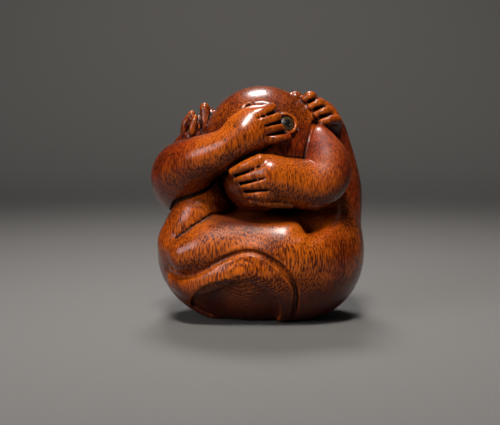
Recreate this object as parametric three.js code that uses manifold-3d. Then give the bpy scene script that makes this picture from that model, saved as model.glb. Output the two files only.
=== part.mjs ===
// A carved wood netsuke: a seated monkey with four arms that covers its eyes, its mouth and both ears.
// One piece of wood, with an inlaid eye that looks out between the fingers: a ring of horn round a dark pupil.
// Millimetres, +Z up, and the face looks to -Y. The origin is under the middle, on the surface it rests on.
import * as THREE from "three";
import { mergeVertices } from "three/addons/utils/BufferGeometryUtils.js";
import Module from "manifold-3d";

const wasm = await Module();
wasm.setup();

// Rounded masses: a centre, three radii and, where it leans, a turn about Y in degrees.
const SEAT = { at: [0, 0.5, 10.8], radii: [17.1, 13.4, 12.8] };
const BACK = { at: [4.5, 3.5, 18], radii: [13.25, 11.55, 17] };
const HIP = { at: [8.5, -3.2, 10.6], radii: [9, 9.8, 9.4] };
const HEAD = { at: [1, -1, 29.9], radii: [9.9, 9.7, 9.9] };
const NECK = { at: [5, -4, 24], radii: [5, 5, 5] };
const CHEEK = { at: [8, -4.8, 28.5], radii: [4, 4.2, 4.5] };
const MUZZLE = { at: [0.1, -7.5, 24.1], radii: [5.6, 5.8, 5.4] };
const EYE_PALM = { at: [-0.8, -10.8, 32.6], radii: [4.9, 2.4, 3.7], lean: -28 };
const MOUTH_PALM = { at: [1.2, -12.9, 24.8], radii: [4.6, 2.1, 3.5], lean: 12 };
const NEAR_EAR_PALM = { at: [11.3, -1.4, 35.1], radii: [3.7, 2.2, 1.8], lean: 42 };
const EAR_NUB = { at: [6.7, -2.2, 37.9], radii: [1.2, 1.2, 1], lean: 20 };

// Limbs: stations along the middle line, each x, y, z and the limb's radius there.
const NEAR_THIGH = [
  [7.3, -5.5, 13, 7],
  [2.2, -8.2, 14.4, 5.5],
  [-2.8, -9.6, 14.7, 4.7],
  [-7.4, -10, 13.6, 4.1],
  [-11.5, -9.7, 12, 3.1],
];
const NEAR_SHIN = [
  [-12.6, -6.6, 7.4, 2.4],
  [-10.3, -9.1, 6.9, 2.7],
  [-7.3, -10.6, 8, 2.8],
  [-4, -11.5, 9.5, 2.8],
  [-0.8, -11.8, 10, 2.8],
  [2, -11.4, 8.8, 2.7],
  [3.8, -10.2, 6.5, 2.5],
  [4.3, -8.1, 3.5, 2.2],
  [4, -4.2, 0.5, 2],
];
const FAR_SHIN = [
  [-7.6, -3, 21.5, 3.8],
  [-9.9, -5, 18.1, 4.3],
  [-12.3, -4.6, 13.4, 4.3],
];
const FAR_THIGH = [
  [-8.4, -2, 20.5, 4],
  [-9.8, 3, 17, 5],
  [-8, 7, 12, 6],
];
const NEAR_EAR_ARM = [
  [13, 4, 17.2, 4.2],
  [13.9, 3.5, 20.8, 4.2],
  [13.4, 2.6, 25.3, 4],
  [12.8, 1.7, 29.2, 3.6],
  [12.2, 0.8, 32.4, 3.1],
  [11.5, -0.8, 34.6, 2.1],
];
const FAR_EAR_ARM = [
  [-6.5, 8.5, 18.5, 4.5],
  [-11.1, 6.5, 22.3, 4.2],
  [-12, 3.5, 27.3, 3.4],
  [-10.6, 1, 30.9, 2.4],
];
const MOUTH_UPPER_ARM = [
  [11.5, -6.8, 30.5, 1.3],
  [12.1, -7.6, 28.9, 2.2],
  [12.2, -8.2, 27.1, 3.1],
  [11.5, -8.9, 25, 4],
];
const MOUTH_FOREARM = [
  [11.5, -8.9, 25, 4],
  [9.2, -10, 23.5, 4.2],
  [5.7, -11.3, 24.2, 3.8],
  [2.5, -12.5, 25.2, 3.4],
];
const EYE_ARM = [
  [-6.5, 7, 20.5, 4.2],
  [-11.6, 3, 21.3, 4.6],
  [-12.6, -3, 24.7, 5.45],
  [-9.9, -8.3, 27.2, 4.1],
  [-5.2, -10.9, 29.4, 3.2],
  [-2.2, -11, 31.2, 3.1],
];
const MOUTH_THUMB = [
  [5.7, -11.8, 20.7, 0.9],
  [2.1, -13, 20.9, 0.9],
  [-0.8, -13, 21.2, 0.6],
];

// Hands: the first and last of four knuckles and tips, the way their backs face, the finger radius at knuckle
// and tip, how far each finger is moved along itself and out, and half the width of the gaps between the tips.
const FINGERS = 4;
const LEVEL = Array(FINGERS).fill([0, 0]);
const EYE_HAND = {
  knuckles: [[-0.2, -11.5, 35.1], [1.8, -11.5, 30.9]],
  tips: [[2.5, -10.2, 36.2], [4.9, -10.5, 31.3]],
  out: [0, -1, 0],
  radii: [0.85, 0.75],
  moved: LEVEL,
  gap: 0.26,
};
const MOUTH_HAND = {
  knuckles: [[0.5, -13.9, 27.8], [2.3, -13.7, 22.1]],
  tips: [[-3.8, -12.6, 25.8], [-1.4, -12.8, 22.1]],
  out: [0, -1, 0],
  radii: [0.98, 0.78],
  moved: LEVEL,
  gap: 0.24,
};
const NEAR_EAR_HAND = {
  knuckles: [[9.5, -2.2, 38], [13.9, -2.9, 34]],
  tips: [[8.5, -3.5, 37.7], [11.3, -4.4, 33.8]],
  out: [0.2, -0.9, 0.35],
  radii: [0.92, 0.85],
  moved: LEVEL,
  gap: 0.27,
};
const FAR_EAR_HAND = {
  knuckles: [[-12.4, 0, 30.3], [-9, 0.3, 30.9]],
  tips: [[-11.5, 0.2, 35.2], [-8.9, 0.6, 36.2]],
  out: [-0.75, -0.65, 0],
  radii: [0.75, 0.65],
  moved: [[0, 0], [-0.4, 0.9], [-0.5, 0.2], [0.2, -0.3]],
};
const FINGER_ARCH = 0.55;
const GAP_AT_KNUCKLES = 0.08;
const GAP_DEPTH = 0.2;
const GAP_HEIGHT = 4;

// The middle of the body, from which its surface is carved, and how softly the masses run into each other.
const BODY_MIDDLE = [0, 1, 15];
const BODY_BLEND = 5;
const HIP_BLEND = 3;
const THIGH_BLEND = 1.8;
const FACE_BLEND = 2;

// Cuts: the deep hollows under the forearm, at the elbow and under the near ear, and the one in the brow.
const FOREARM_HOLLOW = { at: [2.2, -8.5, 20.2], radii: [11, 7, 3], lean: 4 };
const ELBOW_HOLLOW = { at: [12.4, -9.5, 18.8], radii: [2, 6, 3.4], lean: -25 };
const EAR_HOLLOW = { at: [12.5, -3.3, 31.6], radii: [2.5, 2.3, 1], lean: 40 };
const BROW_HOLLOW = { at: [0.9, -8.2, 36.8], radii: [2.9, 1.4, 0.85], lean: -9 };

// The inlaid eye, on the head where it looks out beside the fingertips.
const EYE_AT = [4.8, -9.25, 33.4];
const EYE_MOUND = 3.3;
const EYE_MOUND_RISE = 0.6;
const SOCKET_RADIUS = 1.4;
const SOCKET_DEPTH = 1.2;
const IRIS_RADIUS = 1.1;
const PUPIL_RADIUS = 0.45;
const INLAY_GAP = 0.2;
const INLAY_RISE = 0.25;

// The cord channel: a bent hole through the lower back, wider at its lower mouth for the knot.
const CORD_HOLE_SPACING = 7;
const CORD_HOLE_RADIUS = 1.6;
const KNOT_HOLE_RADIUS = 2.2;
const CORD_HOLE_AT = [2, 15, 12];

const GROUND_DEPTH = 20;

// How finely the round forms are faceted: round the form, then along it.
const BODY_FACETS = [42, 27];
const HEAD_FACETS = [28, 18];
const PALM_FACETS = [14, 8];
const NUB_FACETS = [8, 6];
const HOLLOW_FACETS = [16, 10];
const FINGER_FACETS = [7, 3];
const EYE_FACETS = [14, 3];
const LIMB_SIDES = 14;

const WOOD = new THREE.MeshStandardMaterial({ color: 0x8a3c12, roughness: 0.3, metalness: 0 });
const HORN = new THREE.MeshStandardMaterial({ color: 0x6f6544, roughness: 0.15, metalness: 0 });
const DARK_HORN = new THREE.MeshStandardMaterial({ color: 0x0e0a08, roughness: 0.12, metalness: 0 });

const vector = ([x, y, z]) => new THREE.Vector3(x, y, z);
const leanOf = (mass) => THREE.MathUtils.degToRad(mass.lean ?? 0);
const UP = new THREE.Vector3(0, 0, 1);

// Distance fields of a mass and a limb, and the soft union that runs one into another.
function massDistance(mass, point) {
  const local = point.clone().sub(vector(mass.at)).applyAxisAngle(new THREE.Vector3(0, 1, 0), -leanOf(mass));
  const radii = vector(mass.radii);
  const scaled = local.divide(radii).length();
  const slope = local.divide(radii).length();
  return slope > 0 ? (scaled * (scaled - 1)) / slope : -radii.x;
}

const curveOf = (points) => new THREE.CatmullRomCurve3(points, false, "catmullrom", 0.5);

function limbPath(stations) {
  const path = curveOf(stations.map(vector));
  const girth = curveOf(stations.map((s) => new THREE.Vector3(s[3], 0, 0)));
  return { path, girth };
}

const FIELD_STEPS = 24;

function limbSpheres(stations) {
  const { path, girth } = limbPath(stations);
  return Array.from({ length: FIELD_STEPS + 1 }, (_, i) => {
    const t = i / FIELD_STEPS;
    return { at: path.getPoint(t), radius: girth.getPoint(t).x };
  });
}

const spheresDistance = (spheres, point) =>
  Math.min(...spheres.map((s) => s.at.distanceTo(point) - s.radius));

function softUnion(a, b, blend) {
  const near = Math.max(blend - Math.abs(a - b), 0) / blend;
  return Math.min(a, b) - (near * near * blend) / 4;
}

const blendedSpheres = [NEAR_EAR_ARM, FAR_THIGH].map(limbSpheres);
const thighSpheres = limbSpheres(NEAR_THIGH);

function bodyField(point) {
  let d = softUnion(massDistance(SEAT, point), massDistance(BACK, point), BODY_BLEND);
  d = softUnion(d, massDistance(HIP, point), HIP_BLEND);
  d = softUnion(d, spheresDistance(thighSpheres, point), THIGH_BLEND);
  for (const spheres of blendedSpheres) d = softUnion(d, spheresDistance(spheres, point), HIP_BLEND);
  return d;
}

const eyeAxis = vector(EYE_AT)
  .sub(vector(HEAD.at))
  .divide(vector(HEAD.radii))
  .divide(vector(HEAD.radii))
  .normalize();
const eyePoint = (rise) => vector(EYE_AT).addScaledVector(eyeAxis, rise);
const mound = { at: eyePoint(EYE_MOUND_RISE - EYE_MOUND).toArray(), radii: Array(3).fill(EYE_MOUND) };

function headField(point) {
  let d = softUnion(massDistance(HEAD, point), massDistance(MUZZLE, point), FACE_BLEND);
  for (const mass of [NECK, CHEEK]) d = softUnion(d, massDistance(mass, point), FACE_BLEND);
  return softUnion(d, massDistance(mound, point), EYE_MOUND_RISE);
}

// A ball whose points are carved back, each along its ray, to where the field is zero.
const RAY_LENGTH = 26;
const RAY_STEPS = 40;

function carvedBall(at, [across, down], field) {
  const geometry = new THREE.SphereGeometry(1, across, down);
  geometry.rotateX(Math.PI / 2);
  const points = geometry.getAttribute("position");
  const centre = vector(at);
  for (let i = 0; i < points.count; i++) {
    const ray = new THREE.Vector3().fromBufferAttribute(points, i).normalize();
    let outside = RAY_LENGTH;
    let inside = 0;
    for (let step = RAY_STEPS; step >= 0; step--) {
      const reach = (RAY_LENGTH * step) / RAY_STEPS;
      if (field(ray.clone().multiplyScalar(reach).add(centre)) < 0) {
        inside = reach;
        break;
      }
      outside = reach;
    }
    for (let halving = 0; halving < 12; halving++) {
      const middle = (inside + outside) / 2;
      if (field(ray.clone().multiplyScalar(middle).add(centre)) < 0) inside = middle;
      else outside = middle;
    }
    ray.multiplyScalar(inside).add(centre);
    points.setXYZ(i, ray.x, ray.y, ray.z);
  }
  return geometry;
}

// An ellipsoid for a mass that stands on its own.
function massGeometry(mass, [across, down]) {
  return new THREE.SphereGeometry(1, across, down)
    .scale(...mass.radii)
    .rotateY(leanOf(mass))
    .translate(...mass.at);
}

// A capsule bent along a limb's middle line, as thick at each station as the limb is there.
function limbGeometry(stations, sides, rings) {
  const { path, girth } = limbPath(stations);
  const frames = path.computeFrenetFrames(rings);
  const capsule = new THREE.CapsuleGeometry(1, 1, Math.floor(sides / 5) + 1, sides, rings);
  const points = capsule.getAttribute("position");
  for (let i = 0; i < points.count; i++) {
    const along = THREE.MathUtils.clamp(points.getY(i) + 0.5, 0, 1);
    const beyond = points.getY(i) + 0.5 - along;
    const ring = Math.round(along * rings);
    const radius = girth.getPoint(path.getUtoTmapping(along)).x;
    const moved = path
      .getPointAt(along)
      .addScaledVector(frames.normals[ring], points.getX(i) * radius)
      .addScaledVector(frames.binormals[ring], -points.getZ(i) * radius)
      .addScaledVector(frames.tangents[ring], beyond * radius);
    points.setXYZ(i, moved.x, moved.y, moved.z);
  }
  return capsule;
}

// The stations of each finger, from knuckle over its arch to the tip.
function fingerStations(hand) {
  return Array.from({ length: FINGERS }, (_, i) => {
    const share = i / (FINGERS - 1);
    const knuckle = vector(hand.knuckles[0]).lerp(vector(hand.knuckles[1]), share);
    const tip = vector(hand.tips[0]).lerp(vector(hand.tips[1]), share);
    const out = vector(hand.out).normalize();
    const [along, outward] = hand.moved[i];
    tip.addScaledVector(tip.clone().sub(knuckle).normalize(), along).addScaledVector(out, outward);
    knuckle.addScaledVector(out, outward);
    const middle = knuckle.clone().lerp(tip, 0.5).addScaledVector(out, FINGER_ARCH);
    const [thick, thin] = hand.radii;
    return [
      [...knuckle.toArray(), thick],
      [...middle.toArray(), thick],
      [...tip.toArray(), thin],
    ];
  });
}

// A wedge for the gap between two fingers, from before their tips to the knuckles and open on the outward side.
function gapGeometry(hand, first, second) {
  const between = (station) => vector(first[station]).lerp(vector(second[station]), 0.5);
  const out = vector(hand.out).normalize();
  const tip = between(2);
  const reach = between(0).sub(tip);
  const length = reach.clone().projectOnPlane(out).length();
  const along = reach.divideScalar(length);
  const across = out.clone().cross(along).normalize();
  const before = -hand.radii[1];
  const outline = new THREE.Shape();
  outline.moveTo(before, -hand.gap).lineTo(length, -GAP_AT_KNUCKLES);
  outline.lineTo(length, GAP_AT_KNUCKLES).lineTo(before, hand.gap).closePath();
  const wedge = new THREE.ExtrudeGeometry(outline, { depth: GAP_HEIGHT, bevelEnabled: false });
  const place = new THREE.Matrix4().makeBasis(along, across, out);
  return wedge.applyMatrix4(place.setPosition(tip.addScaledVector(out, -GAP_DEPTH)));
}

function fingerGaps(hand) {
  const fingers = fingerStations(hand);
  return fingers.slice(1).map((next, i) => gapGeometry(hand, fingers[i], next));
}

// Closed geometry to a solid that can be joined and cut, and back.
function solid(geometry) {
  const bare = new THREE.BufferGeometry();
  bare.setAttribute("position", geometry.getAttribute("position"));
  bare.setIndex(geometry.index);
  const merged = mergeVertices(bare, 1e-4);
  const kept = [];
  for (let i = 0; i < merged.index.count; i += 3) {
    const [a, b, c] = merged.index.array.slice(i, i + 3);
    if (a !== b && b !== c && c !== a) kept.push(a, b, c);
  }
  return new wasm.Manifold(
    new wasm.Mesh({
      numProp: 3,
      vertProperties: new Float32Array(merged.getAttribute("position").array),
      triVerts: new Uint32Array(kept),
    }),
  );
}

const joined = (geometries) => geometries.map(solid).reduce((whole, next) => whole.add(next));

function geometryOf(manifold) {
  const mesh = manifold.getMesh();
  const geometry = new THREE.BufferGeometry();
  geometry.setAttribute("position", new THREE.BufferAttribute(mesh.vertProperties, 3));
  geometry.setIndex(new THREE.BufferAttribute(mesh.triVerts, 1));
  geometry.computeVertexNormals();
  return geometry;
}

function bodySolid() {
  const body = solid(carvedBall(BODY_MIDDLE, BODY_FACETS, bodyField));
  const hollows = [FOREARM_HOLLOW, ELBOW_HOLLOW, EAR_HOLLOW].map((hollow) => massGeometry(hollow, HOLLOW_FACETS));
  return body.subtract(joined(hollows));
}

function headSolid() {
  const head = solid(carvedBall(HEAD.at, HEAD_FACETS, headField));
  return head.subtract(solid(massGeometry(BROW_HOLLOW, PALM_FACETS)));
}

// The socket is cut last, so the fingertips beside the eye are trimmed round it.
function eyeSocket() {
  const socket = new THREE.CylinderGeometry(SOCKET_RADIUS, SOCKET_RADIUS, 2 * SOCKET_DEPTH, EYE_FACETS[0]);
  socket.rotateX(Math.PI / 2).translate(0, 0, EYE_MOUND_RISE);
  socket.applyQuaternion(new THREE.Quaternion().setFromUnitVectors(UP, eyeAxis)).translate(...EYE_AT);
  return solid(socket);
}

function limbSolids() {
  const limbs = [
    [NEAR_SHIN, 18],
    [FAR_SHIN, 4],
    [FAR_EAR_ARM, 7],
    [MOUTH_UPPER_ARM, 6],
    [MOUTH_FOREARM, 6],
    [EYE_ARM, 11],
  ].map(([stations, rings]) => limbGeometry(stations, LIMB_SIDES, rings));
  const thumb = limbGeometry(MOUTH_THUMB, ...FINGER_FACETS);
  const palms = [EYE_PALM, MOUTH_PALM, NEAR_EAR_PALM].map((mass) => massGeometry(mass, PALM_FACETS));
  const nub = massGeometry(EAR_NUB, NUB_FACETS);
  const fingers = [EYE_HAND, MOUTH_HAND, NEAR_EAR_HAND, FAR_EAR_HAND]
    .flatMap(fingerStations)
    .map((stations) => limbGeometry(stations, ...FINGER_FACETS));
  const gaps = [EYE_HAND, MOUTH_HAND, NEAR_EAR_HAND].flatMap(fingerGaps);
  return joined([...limbs, thumb, ...palms, nub, ...fingers]).subtract(joined(gaps));
}

function cordChannel() {
  const bend = new THREE.TorusGeometry(CORD_HOLE_SPACING / 2, CORD_HOLE_RADIUS, 10, 24);
  bend.rotateY(Math.PI / 2).translate(...CORD_HOLE_AT);
  const [x, y, z] = CORD_HOLE_AT;
  const knotMouth = new THREE.SphereGeometry(KNOT_HOLE_RADIUS, 14, 10);
  knotMouth.translate(x, y, z - CORD_HOLE_SPACING / 2);
  return joined([bend, knotMouth]);
}

function groundBlock() {
  const span = 3 * GROUND_DEPTH;
  return solid(new THREE.BoxGeometry(span, span, GROUND_DEPTH).translate(0, 0, -GROUND_DEPTH / 2));
}

function monkeyGeometry() {
  const carved = bodySolid().add(headSolid()).add(limbSolids());
  const cuts = [eyeSocket(), cordChannel(), groundBlock()];
  return geometryOf(cuts.reduce((whole, next) => whole.subtract(next), carved));
}

// The inlay's pieces are turned on the eye's own axis, with their flat backs in the socket.
function inlayGeometry(innerRadius, outerRadius) {
  const floor = EYE_MOUND_RISE - SOCKET_DEPTH + INLAY_GAP;
  const domeTop = EYE_MOUND_RISE + INLAY_RISE;
  const rim = EYE_MOUND_RISE - INLAY_GAP;
  const dome = (radius) => domeTop - (domeTop - rim) * (radius / IRIS_RADIUS) ** 2;
  const [sides, steps] = EYE_FACETS;
  const profile = [new THREE.Vector2(innerRadius, floor), new THREE.Vector2(outerRadius, floor)];
  for (let i = 0; i <= steps; i++) {
    const radius = THREE.MathUtils.lerp(outerRadius, innerRadius, i / steps);
    profile.push(new THREE.Vector2(radius, dome(radius)));
  }
  if (innerRadius > 0) profile.push(profile[0].clone());
  const turned = new THREE.LatheGeometry(profile, sides);
  return turned.applyQuaternion(
    new THREE.Quaternion().setFromUnitVectors(new THREE.Vector3(0, 1, 0), eyeAxis),
  );
}

function inlay(name, material, innerRadius, outerRadius) {
  const piece = new THREE.Mesh(inlayGeometry(innerRadius, outerRadius), material);
  piece.name = name;
  piece.position.set(...EYE_AT);
  return piece;
}

const netsuke = new THREE.Group();
const monkey = new THREE.Mesh(monkeyGeometry(), WOOD);
monkey.name = "monkey";
netsuke.add(monkey);
netsuke.add(inlay("eye_iris", HORN, PUPIL_RADIUS + INLAY_GAP, IRIS_RADIUS));
netsuke.add(inlay("eye_pupil", DARK_HORN, 0, PUPIL_RADIUS));

export default netsuke;
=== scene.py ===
"""A carved wood netsuke: a seated monkey that covers eyes, ears and mouth, on a plain stage."""

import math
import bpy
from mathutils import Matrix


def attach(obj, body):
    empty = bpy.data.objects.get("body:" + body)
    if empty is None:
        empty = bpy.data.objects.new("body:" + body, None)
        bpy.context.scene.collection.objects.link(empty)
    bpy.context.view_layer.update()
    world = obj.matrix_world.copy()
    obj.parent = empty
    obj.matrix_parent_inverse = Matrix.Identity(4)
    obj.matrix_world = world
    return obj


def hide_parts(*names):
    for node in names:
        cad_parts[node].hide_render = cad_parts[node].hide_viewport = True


bl_info = {
    "name": "Carved monkey netsuke",
    "version": (1, 0, 0),
    "blender": (4, 5, 0),
    "location": "View3D > Sidebar > Netsuke",
    "description": "Builds a lacquered wood netsuke of a seated monkey with an inlaid eye",
    "category": "Add Mesh",
}

import bmesh
import bpy
import numpy as np
from mathutils import Vector

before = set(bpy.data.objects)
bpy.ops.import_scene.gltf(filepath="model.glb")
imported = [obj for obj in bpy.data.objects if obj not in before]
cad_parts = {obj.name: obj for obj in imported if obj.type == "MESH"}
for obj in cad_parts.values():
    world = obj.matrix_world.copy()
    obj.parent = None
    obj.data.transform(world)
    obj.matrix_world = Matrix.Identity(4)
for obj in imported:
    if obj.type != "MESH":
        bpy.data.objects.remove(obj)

MM = 0.001

# Rounded masses: centre, radii and a turn about Y in degrees, in millimetres.
SEAT = ((0.0, 0.5, 10.8), (17.1, 13.4, 12.8), 0)
BACK = ((4.5, 3.5, 18.0), (13.15, 11.5, 17.0), 0)
HIP = ((8.5, -3.2, 10.6), (9.0, 9.8, 9.4), 0)
THIGH_SWELL = ((4.6, -6.0, 11.9), (9.0, 8.4, 7.4), 0)
HEAD = ((1.0, -1.0, 29.9), (9.9, 9.7, 9.9), 0)
NECK = ((5.0, -4.0, 24.0), (5.0, 5.0, 5.0), 0)
CHEEK = ((8.0, -4.8, 28.5), (4.0, 4.2, 4.5), 0)
MUZZLE = ((0.1, -7.5, 24.1), (5.6, 5.8, 5.4), 0)
EYE_PALM = ((-0.8, -10.8, 32.6), (4.9, 2.4, 3.7), -28)
MOUTH_PALM = ((1.2, -12.9, 24.8), (4.6, 2.1, 3.5), 12)
NEAR_EAR_PALM = ((11.3, -1.4, 35.1), (3.8, 2.3, 2.1), 42)
NEAR_EAR = ((9.5, -2.3, 35.0), (1.2, 1.7, 3.4), -36)
FAR_EAR = ((-8.2, 1.2, 33.2), (1.8, 1.2, 3.0), 0)
EAR_NUB = ((6.7, -2.2, 37.9), (1.2, 1.2, 1.0), 20)
FOREARM_HOLLOW = ((2.2, -8.5, 20.3), (11.0, 7.0, 3.0), 0)
ELBOW_HOLLOW = ((10.9, -10.2, 18.9), (1.3, 4.6, 4.2), 40)
EAR_HOLLOW = ((12.5, -3.3, 31.6), (2.5, 2.3, 1.0), 40)
BROW_HOLLOW = ((0.3, -8.4, 36.7), (3.0, 0.6, 0.95), -9)
BROW_PIT = ((-1.35, -8.2, 36.4), (0.95, 1.3, 0.26), -34)

# The oval recess below the shin: middle and radii in X and Z, its turn in degrees, its depth, and how far
# back in Y it reaches.
SEAT_PATCH = {"middle": (-3.6, 2.8), "radii": (7.5, 5.4), "lean": 5, "depth": 0.7, "back": -4.0}

# Limbs: stations along the middle line, each x, y, z and the radius there.
NEAR_THIGH = (
    (7.3, -6.4, 12.4, 6.7),
    (2.2, -7.9, 12.8, 5.3),
    (-2.8, -9.1, 13.4, 4.6),
    (-7.4, -9.7, 13.3, 4.1),
    (-11.5, -9.7, 12.0, 3.1),
)
NEAR_SHIN = (
    (-12.6, -6.6, 7.4, 2.4),
    (-10.3, -9.1, 6.9, 2.7),
    (-7.3, -10.6, 8.0, 2.8),
    (-4.0, -11.5, 9.5, 2.8),
    (-0.8, -11.8, 10.0, 2.8),
    (2.0, -11.4, 8.8, 2.7),
    (3.8, -10.2, 6.5, 2.5),
    (4.3, -8.1, 3.5, 2.2),
    (4.0, -4.2, 0.5, 2.0),
)
SHIN_GROOVE = (
    (-15.3, -5.5, 8.9, 0.3),
    (-14.1, -8.3, 8.5, 0.4),
    (-12.3, -10.5, 8.3, 0.42),
    (-9.3, -12.4, 9.3, 0.42),
    (-5.6, -13.6, 11.6, 0.42),
    (-1.1, -14.1, 12.9, 0.42),
    (3.1, -14.3, 11.2, 0.42),
    (5.1, -14.05, 9.0, 0.42),
    (6.2, -12.75, 6.9, 0.4),
    (6.4, -11.1, 4.6, 0.42),
    (6.2, -9.3, 2.2, 0.38),
    (5.8, -7.7, 0.4, 0.38),
)
SHIN_FILL = tuple((x * 0.9, y + 1.7, z, 1.7) for x, y, z, _ in SHIN_GROOVE[1:9])
FAR_SHIN = (
    (-7.6, -3.0, 21.5, 3.8),
    (-9.9, -5.0, 18.1, 4.3),
    (-12.3, -4.6, 13.4, 4.3),
)
FAR_SHIN_SHOWN = (-15.5, -12.5)
FAR_THIGH = (
    (-8.4, -2.0, 20.5, 4.0),
    (-9.8, 3.0, 17.0, 5.0),
    (-8.0, 7.0, 12.0, 6.0),
)
NEAR_EAR_ARM = (
    (13.0, 4.0, 17.2, 4.2),
    (13.9, 3.5, 20.8, 4.2),
    (13.4, 2.6, 25.3, 4.0),
    (12.8, 1.7, 29.2, 3.6),
    (12.2, 0.8, 32.4, 3.1),
    (11.5, -0.8, 34.6, 2.1),
)
FAR_EAR_ARM = (
    (-6.5, 8.5, 18.5, 4.5),
    (-11.1, 6.5, 22.3, 4.2),
    (-12.0, 3.5, 27.3, 3.4),
    (-10.6, 1.0, 30.9, 2.4),
)
MOUTH_ARM = (
    (9.6, -4.4, 32.4, 1.2),
    (10.4, -6.3, 30.7, 2.4),
    (11.0, -7.5, 28.9, 3.2),
    (11.5, -8.4, 27.1, 3.8),
    (11.3, -9.0, 25.0, 4.1),
    (9.2, -10.0, 23.5, 4.2),
    (5.7, -11.3, 24.2, 3.8),
    (2.5, -12.5, 25.2, 3.2),
)
EYE_ARM = (
    (-5.0, 5.0, 20.5, 3.4),
    (-11.6, 3.0, 21.3, 4.6),
    (-12.6, -3.0, 24.7, 5.27),
    (-9.9, -8.3, 27.2, 4.1),
    (-5.2, -10.9, 29.4, 3.2),
    (-2.2, -11.0, 31.2, 3.1),
)
MOUTH_THUMB = (
    (5.7, -11.8, 20.7, 0.9),
    (2.1, -13.0, 20.9, 0.9),
    (-0.8, -13.0, 21.2, 0.6),
)

# Fingers of the hand on the far ear, from the outer one inwards.
FAR_EAR_FINGERS = (
    ((-12.3, 0.4, 29.6, 0.75), (-12.2, -0.2, 33.0, 0.74), (-11.1, 0.1, 35.0, 0.62)),
    ((-10.9, -0.6, 30.2, 0.62), (-10.9, -1.1, 32.5, 0.66), (-10.5, -0.6, 34.5, 0.46)),
    ((-9.8, -0.4, 30.4, 0.42), (-9.9, -0.6, 32.8, 0.4), (-10.0, -0.1, 34.6, 0.35)),
    ((-8.6, 0.3, 30.4, 0.95), (-8.7, 0.0, 33.5, 0.98), (-8.9, 0.6, 36.1, 0.85)),
)

# Hands: first and last of four knuckles and tips, the way the backs face, the finger radius at knuckle
# and tip, and half the width of the gaps.
EYE_HAND = {
    "knuckles": ((-0.2, -11.5, 35.1), (1.8, -11.5, 30.9)),
    "tips": ((2.5, -10.2, 36.2), (4.9, -10.5, 31.3)),
    "out": (0.0, -1.0, 0.0),
    "radii": (0.85, 0.75),
    "gap": 0.26,
}
MOUTH_HAND = {
    "knuckles": ((0.5, -13.9, 27.8), (2.3, -13.7, 22.1)),
    "tips": ((-3.8, -12.6, 25.8), (-1.4, -12.8, 22.1)),
    "out": (0.0, -1.0, 0.0),
    "radii": (0.98, 0.78),
    "gap": 0.24,
}
NEAR_EAR_HAND = {
    "knuckles": ((9.4, -2.4, 37.9), (13.5, -3.0, 34.0)),
    "tips": ((8.4, -3.5, 37.6), (11.2, -4.4, 33.7)),
    "out": (0.2, -0.9, 0.35),
    "radii": (0.92, 0.85),
    "gap": 0.27,
}

# In each of these hands: the fingers, how far they arch and the steps of their curves, and the gaps' half
# width at the knuckle, their depth, the softness of their edges and the room left round them.
FINGERS = 4
FINGER_ARCH = 0.55
FINGER_STEPS = 5
GAP_AT_KNUCKLE = 0.08
GAP_DEPTH = 0.2
GAP_SOFTNESS = 0.25
GAP_ROOM = 1.0

# The softness of the edges of a carved line where one form lies on another.
GROOVE_SOFTNESS = 0.2

# The inlaid eye: the middle of its face, the mound and the lid of wood round it, its hole and its inlays.
EYE_AT = np.array((4.8, -9.25, 33.4))
EYE_MOUND = {"radius": 3.3, "sink": 2.7}
EYE_LID = {"radius": 1.6, "thickness": 0.25, "rise": 0.4}
EYE_HOLE = {"radius": 1.32, "middle": 1.6, "half_depth": 2.2}
IRIS = {"inner": 0.5, "outer": 1.28, "rim": 1.28, "base": 0.25, "top": 0.65, "floor": -0.4}
PUPIL = {"inner": 0.0, "outer": 0.48, "rim": 1.28, "base": 0.25, "top": 0.67, "floor": -0.4}
IRIS_SIDES = 40
PUPIL_SIDES = 32
DOME_POINTS = 9

# The bent cord channel: its middle and the radii of its bend, of its bore and of its lower mouth.
CORD_AT = (2.0, 15.0, 12.0)
CORD_BEND = 3.5
CORD_BORE = 1.6
CORD_MOUTH = 2.2

# Distances farther than this from a form's box aren't worked out, and less far round the fine forms.
REACH = 6.0
FINE_REACH = 1.5

# How the surface is taken: the grid's corners, how many of its blocks on each side of the surface are
# worked out in full, and how far the evening out and the probes of hollows go, in millimetres.
GRID_LOW = np.array((-20.0, -18.0, -1.0))
GRID_HIGH = np.array((20.5, 18.0, 41.5))
CLOSE_BLOCKS = 2.4
POINTS_AT_ONCE = 300000
RELAX_ROUNDS = 2
RELAX_SHARE = 0.5
RELAX_LIMIT = 0.12
RELAX_PROBE = 0.06
NORMAL_PROBE = 0.15
HOLLOW_PROBES = (0.5, 1.1, 2.2)

# Patterns of the wood: how many of their units a millimetre makes along X, Y and Z.
WAVE_GRAIN = (1.3, 1.3, 0.3)
SWELL_GRAIN = (0.16, 0.16, 0.05)
STREAK_GRAIN = (4.6, 4.6, 0.75)
PORE_GRAIN = (2.1, 2.1, 0.4)
PATCH_SCALE = 0.13
SMUDGE_SCALE = 0.22
CLUSTER_SCALE = 0.35

# Growth rings: their upright axis in X and Y, and the phase of a millimetre and of the two noises.
RING_AXIS = (-3.0, -32.0)
RING_PHASE = 19.0
RING_WAVE = 7.0
RING_SWELL = 22.0

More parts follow.
